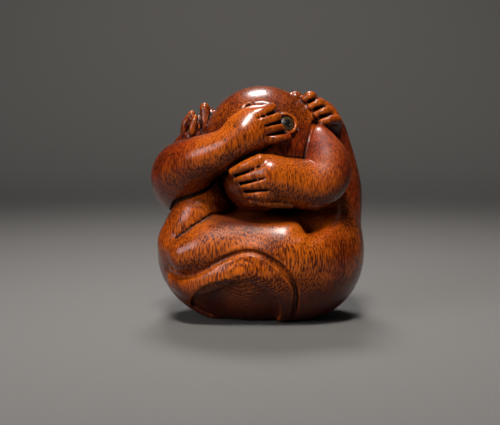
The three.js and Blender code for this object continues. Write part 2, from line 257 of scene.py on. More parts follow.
# Ramps: the low and the high value that are read, and what is given at each.
UPRIGHT = (0.25, 0.8, 1.0, 0.35)
RING_LINE = (-0.8, 0.8, 0.0, 1.0)
RINGS_BY_HEIGHT = (9.0, 20.0, 0.36, 0.16)
RED_UPPER_PART = (16.0, 30.0, 0.0, 0.5)
# The flanks: painted shade, redder and darker on the sides turned from the light.
RED_AND_SHADED_NEAR_FLANK = (1.0, 12.0, 0.0, 0.35)
RED_AND_SHADED_FAR_FLANK = (-17.0, -12.0, 0.4, 0.0)
RED_CROWN = (32.5, 35.0, 1.0, 0.4)
RED_PATCH = (0.35, 0.65, 0.0, 0.45)
RED_FRONT = (-13.6, -11.0, 0.5, 1.0)
PALE_STREAK = (0.3, 0.46, 0.4, 0.0)
DARK_STREAK = (0.42, 0.64, 0.0, 0.62)
STREAKS_BY_HEIGHT = (4.0, 9.0, 0.35, 1.0)
DARK_SMUDGE = (0.45, 0.7, 0.0, 0.4)
# Painted shade: the wood is darker towards the foot, where less light falls.
PAINTED_SHADE_AT_FOOT = (0.0, 9.0, 0.5, 0.0)
# Painted shade on the surfaces that face downwards.
PAINTED_SHADE_UNDERSIDE = (-0.65, 0.0, 0.4, 0.0)
PORE_STROKE = (0.13, 0.25, 1.0, 0.0)
PORES_BY_HEIGHT = (10.0, 20.0, 0.1, 0.0)
PORES_GATHERED = (0.4, 0.56, 0.0, 1.0)
# Proud edges are lighter: rubbed wear, with a painted highlight along them.
RUBBED_EDGE_AND_HIGHLIGHT = (0.2, 0.6, 0.0, 0.5)
# The cuts are darkened with dirt and painted shade, the deeper the darker.
DIRT_AND_SHADE_IN_CUTS = (0.5, 0.9, 0.0, 0.95)
ROUGHNESS_OF_DULL = (0.0, 1.0, 0.27, 0.5)
COAT_OF_DULL = (0.0, 1.0, 0.2, 0.0)
HORN_MIDDLE = (0.7, 1.0, 0.9, 0.0)
HORN_STREAK = (0.42, 0.62, 0.0, 0.5)
HORN_ROUGHNESS = (0.35, 0.65, 0.3, 0.45)
PORE_STRENGTH = 0.88
STREAK_HEIGHT = -0.4

# Places painted darker as shade, each a product of ramps along an axis, in millimetres: the head behind the
# hands, also darker wood there; the near flank; the lap under the forearm; and the gap beside the muzzle,
# with dirt too.
PAINTED_SHADE_PLACES = {
    "head behind the hands": (
        ("Z", 24.0, 28.0, 0.0, 1.0),
        ("Y", -11.0, -8.0, 0.0, 1.0),
        ("X", 8.0, 9.2, 0.42, 0.0),
    ),
    "near flank": (
        ("X", 12.0, 16.0, 0.0, 1.0),
        ("Z", 13.0, 20.0, 0.0, 0.18),
    ),
    "lap": (
        ("Z", 14.0, 17.0, 0.0, 1.0),
        ("Z", 18.5, 20.0, 1.0, 0.0),
        ("X", -9.0, -6.0, 0.0, 1.0),
        ("X", -1.0, 4.0, 0.45, 0.0),
    ),
    "gap beside the muzzle": (
        ("X", -9.0, -6.0, 0.0, 1.0),
        ("X", -4.0, -1.5, 0.6, 0.0),
        ("Z", 18.5, 20.0, 0.0, 1.0),
        ("Z", 25.0, 27.0, 1.0, 0.0),
        ("Y", -13.4, -12.4, 0.0, 1.0),
    ),
}

# Places where the polish is duller, in the same way.
DULL_PLACES = {
    "upper arm of the mouth hand": (
        ("Z", 21.0, 25.0, 0.0, 1.0),
        ("Z", 31.0, 33.5, 1.0, 0.0),
        ("X", 7.5, 10.0, 0.0, 1.0),
    ),
    "thigh towards the knee": (
        ("Z", 11.0, 14.0, 0.0, 1.0),
        ("Z", 18.0, 20.0, 1.0, 0.0),
        ("X", -3.0, 9.0, 1.0, 0.0),
        ("X", -11.0, -8.5, 0.0, 1.0),
    ),
    "foot": (("Z", 2.0, 7.0, 1.0, 0.0),),
}

# The floor that curves up into a wall, in metres.
FLOOR = {"reach": 1.6, "flat": 0.35, "bend": 0.7}
FLOOR_BEND_STEPS = 16
FLOOR_ROUGHNESS = 0.8
ROOM_COLOUR = (1.0, 0.97, 0.95, 1.0)

# Lights: place, target and size in metres, beam in degrees, power in watts, and colour.
FIGURE_MIDDLE = (0.0, 0.0, 0.02)
LIGHTS = {
    "top light": ((-0.03, 0.22, 0.4), FIGURE_MIDDLE, 0.12, 60.0, 0.17, (1.0, 0.98, 0.97)),
    "front light": ((-0.03, -0.26, 0.46), FIGURE_MIDDLE, 0.12, 40.0, 0.18, (1.0, 0.97, 0.93)),
    "left light": ((-0.3, -0.28, 0.19), FIGURE_MIDDLE, 0.22, 60.0, 0.115, (1.0, 0.94, 0.97)),
    "ceiling": ((0.0, 0.1, 1.1), FIGURE_MIDDLE, 1.2, 180.0, 0.8, (1.0, 0.98, 0.97)),
    "wall light": ((0.0, 0.35, 0.6), (0.0, 0.9, 0.1), 0.4, 150.0, 1.9, (1.0, 0.97, 0.95)),
}

# The camera: its place and film in millimetres, and its focal length, the picture's width and how far the
# level line lies above the picture's middle, in pixels.
CAMERA_AT = (-1.1, -195.0, 36.2)
FILM_WIDTH = 36.0
FOCAL_PIXELS = 1131.0
PICTURE_PIXELS = 500.0
LEVEL_PIXELS = 105.5
CLIP_START = 0.005

# Kinds of sockets of the node groups.
COLOUR = "NodeSocketColor"
VALUE = "NodeSocketFloat"


def unit(vector):
    """The vector at length one."""
    vector = np.asarray(vector, dtype=float)
    return vector / np.linalg.norm(vector)


EYE_AXIS = unit((EYE_AT - np.array(HEAD[0])) / np.array(HEAD[1]) ** 2)


def near(points, low, high, distance, reach=REACH):
    """Distance for the points close to a box, and a plain far value for the rest."""
    inside = np.all((points > np.asarray(low) - reach) & (points < np.asarray(high) + reach), axis=1)
    result = np.full(len(points), REACH)
    if inside.any():
        result[inside] = distance(points[inside])
    return result


def mass(points, form):
    """Signed distance to an ellipsoid that may lean about Y."""
    centre, radii, lean = form
    centre = np.array(centre)
    radii = np.array(radii)
    angle = math.radians(lean)
    turn = np.array((
        (math.cos(angle), 0.0, math.sin(angle)),
        (0.0, 1.0, 0.0),
        (-math.sin(angle), 0.0, math.cos(angle)),
    ))

    def distance(close):
        local = (close - centre) @ turn
        share = np.sqrt(((local / radii) ** 2).sum(1))
        steepness = np.sqrt(((local / radii ** 2) ** 2).sum(1))
        return share * (share - 1.0) / np.maximum(steepness, 1e-6)

    return near(points, centre - radii.max(), centre + radii.max(), distance)


def ball(points, centre, radius):
    """Signed distance to a sphere."""
    return np.linalg.norm(points - np.asarray(centre), axis=1) - radius


def smooth_line(stations, steps):
    """Points of a smooth curve through the stations, radius included."""
    rows = np.array(stations, dtype=float)
    ends = np.vstack((2 * rows[0] - rows[1], rows, 2 * rows[-1] - rows[-2]))
    line = []
    for index in range(len(rows) - 1):
        a, b, c, d = ends[index:index + 4]
        for share in np.linspace(0.0, 1.0, steps, endpoint=False):
            bend = 2 * a - 5 * b + 4 * c - d
            twist = 3 * b - a - 3 * c + d
            line.append(0.5 * (2 * b + (c - a) * share + bend * share ** 2 + twist * share ** 3))
    line.append(rows[-1])
    return np.array(line)


def limb(points, stations, steps=8, reach=REACH):
    """Signed distance to a tapering round limb along a smooth line."""
    line = smooth_line(stations, steps)
    thickest = line[:, 3].max()

    def distance(close):
        best = np.full(len(close), 1e3)
        for start, end in zip(line[:-1], line[1:]):
            span = end[:3] - start[:3]
            offset = close - start[:3]
            share = np.clip(offset @ span / max(float(span @ span), 1e-9), 0.0, 1.0)
            offset = offset - share[:, None] * span
            radius = start[3] + share * (end[3] - start[3])
            best = np.minimum(best, np.sqrt((offset * offset).sum(1)) - radius)
        return best

    return near(points, line[:, :3].min(0) - thickest, line[:, :3].max(0) + thickest, distance, reach)


def blend(a, b, width):
    """Soft union of two distances."""
    overlap = np.maximum(width - np.abs(a - b), 0.0) / width
    return np.minimum(a, b) - overlap * overlap * width * 0.25


def cut(a, b, width):
    """Distance a with b carved out of it, softly."""
    return -blend(-a, b, width)


def lay_on(a, b, groove, width=0.3):
    """Union of two distances with a carved line where the two surfaces meet."""
    together = blend(a, b, width)
    return cut(together, np.sqrt(a * a + b * b) - groove, GROOVE_SOFTNESS)


def slit(points, start, end, half_start, half_end, facing):
    """Signed distance to a thin flat cut from start to end, open on the side that faces out."""
    facing = unit(facing)
    along = unit((end - start) - facing * ((end - start) @ facing))
    across = np.cross(facing, along)
    length = (end - start) @ along
    rise = (end - start) @ facing

    def distance(close):
        offset = close - start
        run = offset @ along
        share = np.clip(run / length, 0.0, 1.0)
        side = np.sqrt((run - share * length) ** 2 + (offset @ across) ** 2)
        depth = -GAP_DEPTH - (offset @ facing - share * rise)
        return np.maximum(side - half_start - (half_end - half_start) * share, depth)

    low = np.minimum(start, end) - GAP_ROOM
    high = np.maximum(start, end) + GAP_ROOM
    return near(points, low, high, distance, FINE_REACH)


def ring(points, centre, axis, radius, thickness):
    """Signed distance to a torus."""
    offset = points - np.asarray(centre)
    height = offset @ unit(axis)
    wide = np.sqrt(np.maximum((offset * offset).sum(1) - height * height, 0.0))
    return np.sqrt((wide - radius) ** 2 + height * height) - thickness


def finger_lines(hand):
    """Stations of each of a hand's fingers, from knuckle over the arch to the tip."""
    out = unit(hand["out"])
    knuckles = np.array(hand["knuckles"])
    tips = np.array(hand["tips"])
    lines = []
    first, last = hand["radii"]
    for share in np.linspace(0.0, 1.0, FINGERS):
        knuckle = knuckles[0] * (1 - share) + knuckles[1] * share
        tip = tips[0] * (1 - share) + tips[1] * share
        middle = (knuckle + tip) / 2 + out * FINGER_ARCH
        lines.append(((*knuckle, first), (*middle, first), (*tip, last)))
    return lines


def add_hand(points, d, hand, softness):
    """The figure with a hand's fingers added and the gaps between them cut."""
    lines = finger_lines(hand)
    for line in lines:
        d = blend(d, limb(points, line, FINGER_STEPS, FINE_REACH), softness)
    for first, second in zip(lines[:-1], lines[1:]):
        tip = (np.array(first[2][:3]) + np.array(second[2][:3])) / 2
        knuckle = (np.array(first[0][:3]) + np.array(second[0][:3])) / 2
        gap = slit(points, tip, knuckle, hand["gap"], GAP_AT_KNUCKLE, hand["out"])
        d = cut(d, gap, GAP_SOFTNESS)
    return d


def body_distance(points):
    """The seat, back, hip, thighs and ear arms, run into one another, with the hollows between them."""
    d = blend(mass(points, SEAT), mass(points, BACK), width=5.0)
    d = blend(d, mass(points, HIP), width=4.2)
    d = blend(d, limb(points, NEAR_THIGH), width=1.8)
    d = blend(d, mass(points, THIGH_SWELL), width=2.0)
    d = blend(d, limb(points, FAR_THIGH), width=3.0)
    d = blend(d, limb(points, NEAR_EAR_ARM), width=3.0)
    d = blend(d, limb(points, FAR_EAR_ARM), width=2.0)
    d = cut(d, mass(points, FOREARM_HOLLOW), width=1.2)
    d = cut(d, mass(points, ELBOW_HOLLOW), width=3.0)
    return cut(d, mass(points, EAR_HOLLOW), width=0.6)


def face_distance(points):
    """The head with its muzzle and cheek, the mound round the eye, the lid and the hollow of the brow."""
    d = blend(mass(points, HEAD), mass(points, MUZZLE), width=2.0)
    d = blend(d, mass(points, NECK), width=2.0)
    d = blend(d, mass(points, CHEEK), width=2.0)
    mound = ball(points, EYE_AT - EYE_MOUND["sink"] * EYE_AXIS, EYE_MOUND["radius"])
    d = lay_on(d, mound, groove=0.14, width=0.6)
    lid_at = EYE_AT + EYE_LID["rise"] * EYE_AXIS
    lid = ring(points, lid_at, EYE_AXIS, EYE_LID["radius"], EYE_LID["thickness"])
    d = blend(d, lid, width=0.6)
    d = cut(d, mass(points, BROW_HOLLOW), width=0.5)
    return cut(d, mass(points, BROW_PIT), width=0.2)


def seat_patch(points, d):
    """The shallow oval recess in the front of the seat, below the shin."""
    angle = math.radians(SEAT_PATCH["lean"])
    offset = points[:, [0, 2]] - np.array(SEAT_PATCH["middle"])
    across = offset @ np.array((math.cos(angle), -math.sin(angle)))
    rise = offset @ np.array((math.sin(angle), math.cos(angle)))
    wide, high = SEAT_PATCH["radii"]
    oval = (np.hypot(across / wide, rise / high) - 1.0) * high
    behind = points[:, 1] - SEAT_PATCH["back"]
    return np.maximum(np.maximum(oval, behind), -d - SEAT_PATCH["depth"])


def eye_socket(points):
    """The round hole the eye is set in, open to the front."""
    offset = points - EYE_AT
    height = offset @ EYE_AXIS
    wide = np.sqrt(np.maximum((offset * offset).sum(1) - height * height, 0.0))
    side = wide - EYE_HOLE["radius"]
    return np.maximum(side, np.abs(height - EYE_HOLE["middle"]) - EYE_HOLE["half_depth"])


def cord_channel(points):
    """The bent hole through the lower back, wider at its lower mouth."""
    bend = ring(points, CORD_AT, (1, 0, 0), CORD_BEND, CORD_BORE)
    lower_mouth = ball(points, (CORD_AT[0], CORD_AT[1], CORD_AT[2] - CORD_BEND), CORD_MOUTH)
    return blend(bend, lower_mouth, width=0.6)


def ease(value, low, high):
    """0 below low, 1 above high and smooth between."""
    share = np.clip((value - low) / (high - low), 0.0, 1.0)
    return share * share * (3.0 - 2.0 * share)


def figure_distance(points):
    """Signed distance to the whole carved figure, in millimetres, negative inside the wood."""
    d = body_distance(points)
    shown = ease(points[:, 0], *FAR_SHIN_SHOWN)
    d = lay_on(d, limb(points, FAR_SHIN), groove=0.22 * shown, width=0.3 + 2.0 * (1.0 - shown))
    d = blend(d, limb(points, NEAR_SHIN, steps=6), width=0.4)
    d = blend(d, limb(points, SHIN_FILL, steps=6), width=1.0)
    d = cut(d, limb(points, SHIN_GROOVE, steps=6, reach=FINE_REACH), width=0.35)
    d = cut(d, seat_patch(points, d), width=0.25)
    d = lay_on(d, face_distance(points), groove=0.2, width=0.5)
    arm = blend(limb(points, MOUTH_ARM), mass(points, MOUTH_PALM), width=1.6)
    d = lay_on(d, arm, groove=0.3)
    d = add_hand(points, d, MOUTH_HAND, softness=0.45)
    d = lay_on(d, limb(points, MOUTH_THUMB, FINGER_STEPS, FINE_REACH), groove=0.16, width=0.2)
    arm = blend(limb(points, EYE_ARM), mass(points, EYE_PALM), width=1.5)
    d = lay_on(d, arm, groove=0.3)
    d = add_hand(points, d, EYE_HAND, softness=0.45)
    d = blend(d, mass(points, EAR_NUB), width=0.4)
    d = blend(d, mass(points, NEAR_EAR), width=0.6)
    d = blend(d, mass(points, NEAR_EAR_PALM), width=0.8)
    d = add_hand(points, d, NEAR_EAR_HAND, softness=0.35)
    d = blend(d, mass(points, FAR_EAR), width=0.6)
    for finger in FAR_EAR_FINGERS:
        d = lay_on(d, limb(points, finger, steps=6, reach=FINE_REACH), groove=0.13, width=0.15)
    d = cut(d, eye_socket(points), width=0.15)
    d = cut(d, cord_channel(points), width=0.5)
    return cut(d, points[:, 2], width=0.8)


def slices(count, size):
    """Runs of at most that many rows, so that memory stays small."""
    return [slice(start, min(start + size, count)) for start in range(0, count, size)]


def distances(points):
    """The figure's distance at many points."""
    result = np.empty(len(points))
    for run in slices(len(points), POINTS_AT_ONCE):
        result[run] = figure_distance(points[run])
    return result


def distance_grid(low, high, step):
    """Distances on a grid, worked out in full only near the surface."""
    blocks = np.ceil((np.array(high) - np.array(low)) / (2 * step)).astype(int)
    axes = [low[k] + 2 * step * np.arange(blocks[k] + 1) for k in range(3)]
    corners = np.stack(np.meshgrid(*axes, indexing="ij"), -1).reshape(-1, 3)
    coarse = distances(corners).reshape(blocks + 1)
    fine = np.repeat(np.repeat(np.repeat(coarse, 2, 0), 2, 1), 2, 2)[:-1, :-1, :-1]
    close = np.abs(fine) < 2 * step * CLOSE_BLOCKS
    where = np.argwhere(close)
    fine[close] = distances(np.array(low) + where * step)
    return fine


def net_surface(grid, low, step):
    """Vertices and quads of a surface net: one vertex in each cell that the surface crosses."""
    inside = grid < 0
    shape = np.array(grid.shape) - 1
    total = np.zeros((*shape, 3))
    count = np.zeros(shape)
    crossings = []
    for axis in range(3):
        first = [slice(None)] * 3
        second = [slice(None)] * 3
        first[axis] = slice(None, -1)
        second[axis] = slice(1, None)
        a = grid[tuple(first)]
        b = grid[tuple(second)]
        crossed = inside[tuple(first)] != inside[tuple(second)]
        where = np.argwhere(crossed)
        share = a[crossed] / (a[crossed] - b[crossed])
        place = where.astype(float)
        place[:, axis] += share
        crossings.append((where, inside[tuple(first)][crossed]))
        others = [k for k in range(3) if k != axis]
        for shift_one in (0, 1):
            for shift_two in (0, 1):
                cell = where.copy()
                cell[:, others[0]] -= shift_one
                cell[:, others[1]] -= shift_two
                fits = np.all((cell >= 0) & (cell < shape), axis=1)
                index = tuple(cell[fits].T)
                np.add.at(total, index, place[fits])
                np.add.at(count, index, 1)
    used = count > 0
    number = np.full(shape, -1)
    number[used] = np.arange(used.sum())
    vertices = np.array(low) + step * total[used] / count[used][:, None]
    quads = []
    for axis in range(3):
        where, starts_inside = crossings[axis]
        one, two = [(axis + 1) % 3, (axis + 2) % 3]
        corner_cells = []
        for shift_one, shift_two in ((1, 1), (0, 1), (0, 0), (1, 0)):
            cell = where.copy()
            cell[:, one] -= shift_one
            cell[:, two] -= shift_two
            corner_cells.append(number[tuple(cell.T)])
        quad = np.stack(corner_cells, 1)
        quad[~starts_inside] = quad[~starts_inside][:, ::-1]
        quads.append(quad)
    return vertices, np.concatenate(quads)


def quad_edges(quads):
    """The ends of all first edges of the quads, then of all second ones, and so on."""
    return np.concatenate([quads[:, [corner, (corner + 1) % 4]] for corner in range(4)])


def largest_shell(vertices, quads):
    """The biggest surface alone, without the tiny closed bits of buried grooves."""
    edges = quad_edges(quads)
    edges = edges.min(1) * len(vertices) + edges.max(1)
    order = np.argsort(edges, kind="stable")
    _, first, count = np.unique(edges[order], return_index=True, return_counts=True)
    first = first[count == 2]
    one = order[first] % len(quads)
    other = order[first + 1] % len(quads)
    label = np.arange(len(quads))
    settled = False
    while not settled:
        lowest = np.minimum(label[one], label[other])
        lower = label.copy()
        np.minimum.at(lower, one, lowest)
        np.minimum.at(lower, other, lowest)
        lower = lower[lower]
        settled = np.array_equal(lower, label)
        label = lower
    kept = quads[label == np.bincount(label).argmax()]
    used, kept_numbers = np.unique(kept, return_inverse=True)
    return vertices[used], kept_numbers.reshape(-1, 4)


def slope(points, reach):
    """Unit direction in which the distance grows."""
    total = np.zeros((len(points), 3))
    for corner in ((1, 1, 1), (1, -1, -1), (-1, 1, -1), (-1, -1, 1)):
        total += np.array(corner) * distances(points + np.array(corner) * reach)[:, None]
    return total / np.maximum(np.linalg.norm(total, axis=1), 1e-9)[:, None]


def neighbour_mean(values, quads):
    """The mean of each vertex's neighbours, for rows of values."""
    edges = quad_edges(quads)
    total = np.zeros_like(values)
    count = np.zeros(len(values))
    np.add.at(total, edges[:, 0], values[edges[:, 1]])
    np.add.at(count, edges[:, 0], 1)
    return total / np.maximum(count, 1)[:, None]


def relaxed(vertices, quads):
    """Vertices evened out along the surface and put back on it."""
    for _ in range(RELAX_ROUNDS):
        moved = vertices + RELAX_SHARE * (neighbour_mean(vertices, quads) - vertices)
        direction = slope(moved, RELAX_PROBE)
        step = np.clip(distances(moved), -RELAX_LIMIT, RELAX_LIMIT)
        vertices = moved - direction * step[:, None]
    return vertices


def smooth_object(name, mesh):
    """A smooth-shaded object of a mesh, in the scene."""
    mesh.polygons.foreach_set("use_smooth", [True] * len(mesh.polygons))
    obj = bpy.data.objects.new(name, mesh)
    bpy.context.scene.collection.objects.link(obj)
    return obj


def mesh_object(name, vertices, faces):
    """A smooth-shaded object of plain lists of vertices and faces."""
    mesh = bpy.data.meshes.new(name)
    mesh.from_pydata(vertices, [], faces)
    mesh.update()
    return smooth_object(name, mesh)


def carved_object(name, step):
    """The carved figure as a mesh, with values on each vertex that say how hollow and how proud it is."""
    grid = distance_grid(GRID_LOW, GRID_HIGH, step)
    vertices, quads = largest_shell(*net_surface(grid, GRID_LOW, step))
    vertices = relaxed(vertices, quads)
    normals = slope(vertices, NORMAL_PROBE)
    hollow = np.zeros(len(vertices))
    for reach in HOLLOW_PROBES:
        filled = np.clip(1.0 - distances(vertices + normals * reach) / reach, 0.0, 1.0)
        hollow += filled / len(HOLLOW_PROBES)
    bulge = ((vertices - neighbour_mean(vertices, quads)) * normals).sum(1, keepdims=True) / step ** 2
    proud = np.clip(neighbour_mean(bulge, quads)[:, 0], 0.0, 1.0)
    obj = mesh_object(name, vertices * MM, quads.tolist())
    for label, values in (("hollow", hollow), ("proud", proud)):
        layer = obj.data.attributes.new(label, "FLOAT", "POINT")
        layer.data.foreach_set("value", values)
    return obj


def turned_object(name, profile, sides):
    """A piece turned about the eye's axis from radius and height pairs in millimetres."""
    shape = bmesh.new()
    side = unit(np.cross(EYE_AXIS, (0, 0, 1)))
    up = np.cross(EYE_AXIS, side)
    loops = []
    for radius, height in profile:
        loop = []
        for index in range(sides):
            angle = 2 * math.pi * index / sides
            place = EYE_AT + EYE_AXIS * height
            place = place + side * (radius * math.cos(angle)) + up * (radius * math.sin(angle))
            loop.append(shape.verts.new(place * MM))
        loops.append(loop)
    for first, second in zip(loops, loops[1:] + loops[:1]):
        for k in range(sides):
            after = (k + 1) % sides
            shape.faces.new((first[k], first[after], second[after], second[k]))
    bmesh.ops.remove_doubles(shape, verts=shape.verts, dist=1e-7)
    bmesh.ops.recalc_face_normals(shape, faces=shape.faces)
    mesh = bpy.data.meshes.new(name)
    shape.to_mesh(mesh)
    shape.free()
    return smooth_object(name, mesh)


def dome_profile(inner, outer, rim, base, top, floor):
    """Section of a domed disc or ring: up the outside, over the dome and down to the flat back."""
    profile = [(max(inner, 1e-5), floor), (outer, floor)]
    for share in np.linspace(0.0, 1.0, DOME_POINTS):
        radius = outer + (inner - outer) * share
        profile.append((max(radius, 1e-5), top - (top - base) * (radius / rim) ** 2))
    return profile


def node(tree, kind, **values):
    """A shader node with the named properties set."""
    made = tree.nodes.new(kind)
    for key, value in values.items():
        setattr(made, key, value)
    return made


def plug(tree, target, source):
    """Links an output to an input, or sets the input to a plain value."""
    if isinstance(source, bpy.types.NodeSocket):
        tree.links.new(source, target)
    else:
        target.default_value = source


def maths(tree, operation, first, second=0.0):
    """A maths node's output."""
    made = node(tree, "ShaderNodeMath", operation=operation)
    plug(tree, made.inputs[0], first)
    plug(tree, made.inputs[1], second)
    return made.outputs[0]


def spread(tree, value, ramp):
    """A value mapped smoothly by a ramp."""
    made = node(tree, "ShaderNodeMapRange", interpolation_type="SMOOTHSTEP")
    plug(tree, made.inputs["Value"], value)
    for label, number in zip(("From Min", "From Max", "To Min", "To Max"), ramp):
        made.inputs[label].default_value = number
    return made.outputs["Result"]


def mixed(tree, amount, first, second):
    """A colour between two colours."""
    made = node(tree, "ShaderNodeMix", data_type="RGBA")
    plug(tree, made.inputs[0], amount)
    plug(tree, made.inputs[6], first)
    plug(tree, made.inputs[7], second)
    return made.outputs[2]


def scaled(tree, vector, factors):
    """A vector multiplied by three factors."""
    made = node(tree, "ShaderNodeVectorMath", operation="MULTIPLY")
    plug(tree, made.inputs[0], vector)
    made.inputs[1].default_value = factors
    return made.outputs[0]


def noise(tree, vector, scale, detail):
    """A noise texture's value."""
    made = node(tree, "ShaderNodeTexNoise")
    plug(tree, made.inputs["Vector"], vector)
    made.inputs["Scale"].default_value = scale
    made.inputs["Detail"].default_value = detail
    return made.outputs["Fac"]


def split(tree, vector):
    """The outputs X, Y and Z of a vector."""
    made = node(tree, "ShaderNodeSeparateXYZ")
    plug(tree, made.inputs[0], vector)
    return made.outputs


def place_mask(tree, along, ramps):
    """The product of ramps along X, Y and Z, which marks one place of the figure."""
    mask = 1.0
    for axis, *ramp in ramps:
        mask = maths(tree, "MULTIPLY", mask, spread(tree, along[axis], ramp))
    return mask


def new_group(name, inputs, outputs):
    """A node group with sockets of those labels and kinds, and its input and output nodes."""
    tree = bpy.data.node_groups.new(name, "ShaderNodeTree")
    for label, kind in inputs.items():
        tree.interface.new_socket(label, in_out="INPUT", socket_type=kind)
    for label, kind in outputs.items():
        tree.interface.new_socket(label, in_out="OUTPUT", socket_type=kind)
    return tree, node(tree, "NodeGroupInput"), node(tree, "NodeGroupOutput")


def millimetres(tree, place):
    """The place on the object, in millimetres."""
    return scaled(tree, place.outputs["Object"], (1.0 / MM, 1.0 / MM, 1.0 / MM))


def growth_rings(tree, grain, along, upright):
    """Fine uneven lines about an upright axis in front of the figure, clearest low down."""
    across = maths(tree, "POWER", maths(tree, "SUBTRACT", along["X"], RING_AXIS[0]), 2.0)
    depth = maths(tree, "POWER", maths(tree, "SUBTRACT", along["Y"], RING_AXIS[1]), 2.0)
    radius = maths(tree, "SQRT", maths(tree, "ADD", across, depth))
    wave = noise(tree, scaled(tree, grain, WAVE_GRAIN), scale=1.0, detail=2.0)
    swell = noise(tree, scaled(tree, grain, SWELL_GRAIN), scale=1.0, detail=1.0)
    phase = maths(tree, "MULTIPLY", radius, RING_PHASE)
    phase = maths(tree, "ADD", phase, maths(tree, "MULTIPLY", wave, RING_WAVE))
    phase = maths(tree, "ADD", phase, maths(tree, "MULTIPLY", swell, RING_SWELL))
    lines = maths(tree, "MULTIPLY", spread(tree, maths(tree, "SINE", phase), RING_LINE), upright)
    return maths(tree, "MULTIPLY", lines, spread(tree, along["Z"], RINGS_BY_HEIGHT))


def redness_and_flank_shade(tree, grain, along):
    """Redder wood in large patches and on the upper part, and the flanks painted redder and darker as
    shade.
    """
    near_flank = spread(tree, along["X"], RED_AND_SHADED_NEAR_FLANK)
    far_flank = spread(tree, along["X"], RED_AND_SHADED_FAR_FLANK)
    flanks = maths(tree, "ADD", near_flank, far_flank)
    red = maths(tree, "ADD", spread(tree, along["Z"], RED_UPPER_PART), flanks)
    red = maths(tree, "MULTIPLY", red, spread(tree, along["Z"], RED_CROWN))
    patches = spread(tree, noise(tree, grain, scale=PATCH_SCALE, detail=2.0), RED_PATCH)
    red = maths(tree, "ADD", red, patches)
    return maths(tree, "MULTIPLY", red, spread(tree, along["Y"], RED_FRONT))


def smudges_and_painted_shade(tree, grain, along, facing):
    """Smudges of darker wood, and painted shade towards the foot, on the undersides and in the shaded
    places.
    """
    dark = spread(tree, along["Z"], PAINTED_SHADE_AT_FOOT)
    for ramps in PAINTED_SHADE_PLACES.values():
        dark = maths(tree, "ADD", dark, place_mask(tree, along, ramps))
    dark = maths(tree, "ADD", dark, spread(tree, facing["Z"], PAINTED_SHADE_UNDERSIDE))
    smudge = spread(tree, noise(tree, grain, scale=SMUDGE_SCALE, detail=3.0), DARK_SMUDGE)
    return maths(tree, "ADD", smudge, dark)


def pore_strokes(tree, grain, along, upright):
    """Short dark upright strokes, gathered in places."""
    cells = node(tree, "ShaderNodeTexVoronoi")
    plug(tree, cells.inputs["Vector"], scaled(tree, grain, PORE_GRAIN))
    cells.inputs["Scale"].default_value = 1.0
    strokes = spread(tree, cells.outputs["Distance"], PORE_STROKE)
    clusters = noise(tree, grain, scale=CLUSTER_SCALE, detail=2.0)
    clusters = maths(tree, "ADD", clusters, spread(tree, along["Z"], PORES_BY_HEIGHT))
    strokes = maths(tree, "MULTIPLY", strokes, spread(tree, clusters, PORES_GATHERED))
    return maths(tree, "MULTIPLY", strokes, upright)


def wood_group():
    """Node group of the wood: rings, pores, red patches, painted shade, edges lighter as wear and painted
    highlight, dirt and painted shade in the cuts, and dull places.
    """
    tree, given, result = new_group(
        "Wood grain",
        {"Light": COLOUR, "Red": COLOUR, "Dark": COLOUR, "Pore": COLOUR, "Hollow": VALUE, "Proud": VALUE},
        {"Colour": COLOUR, "Roughness": VALUE, "Coat": VALUE, "Height": VALUE},
    )
    place = node(tree, "ShaderNodeTexCoord")
    grain = millimetres(tree, place)
    along = split(tree, grain)
    facing = split(tree, place.outputs["Normal"])
    upright = spread(tree, facing["Z"], UPRIGHT)

    # Light and red wood with pale streaks, then the dark rings and streaks, the smudges and the painted
    # shade.
    colour = mixed(tree, redness_and_flank_shade(tree, grain, along), given.outputs["Light"], given.outputs["Red"])
    streaks = noise(tree, scaled(tree, grain, STREAK_GRAIN), scale=1.0, detail=2.0)
    colour = mixed(tree, spread(tree, streaks, PALE_STREAK), colour, given.outputs["Light"])
    mottle = spread(tree, streaks, DARK_STREAK)
    mottle = maths(tree, "MULTIPLY", mottle, spread(tree, along["Z"], STREAKS_BY_HEIGHT))
    tone = maths(tree, "ADD", growth_rings(tree, grain, along, upright), mottle)
    tone = maths(tree, "ADD", tone, smudges_and_painted_shade(tree, grain, along, facing))
    colour = mixed(tree, tone, colour, given.outputs["Dark"])

    # Pores are nearly black, proud edges are lighter as rubbed wear and painted highlight, and the cuts are
    # darker with dirt and painted shade.
    pores = pore_strokes(tree, grain, along, upright)
    colour = mixed(tree, maths(tree, "MULTIPLY", pores, PORE_STRENGTH), colour, given.outputs["Pore"])
    colour = mixed(tree, spread(tree, given.outputs["Proud"], RUBBED_EDGE_AND_HIGHLIGHT), colour, given.outputs["Light"])
    dirt_and_shade = spread(tree, given.outputs["Hollow"], DIRT_AND_SHADE_IN_CUTS)
    colour = mixed(tree, dirt_and_shade, colour, given.outputs["Pore"])
    plug(tree, result.inputs["Colour"], colour)

    # The polish is duller in the darkened cuts and in the dull places.
    dull = dirt_and_shade
    for ramps in DULL_PLACES.values():
        dull = maths(tree, "MAXIMUM", dull, place_mask(tree, along, ramps))
    plug(tree, result.inputs["Roughness"], spread(tree, dull, ROUGHNESS_OF_DULL))
    plug(tree, result.inputs["Coat"], spread(tree, dull, COAT_OF_DULL))
    sunk = maths(tree, "MULTIPLY", mottle, STREAK_HEIGHT)
    plug(tree, result.inputs["Height"], maths(tree, "SUBTRACT", sunk, pores))
    return tree


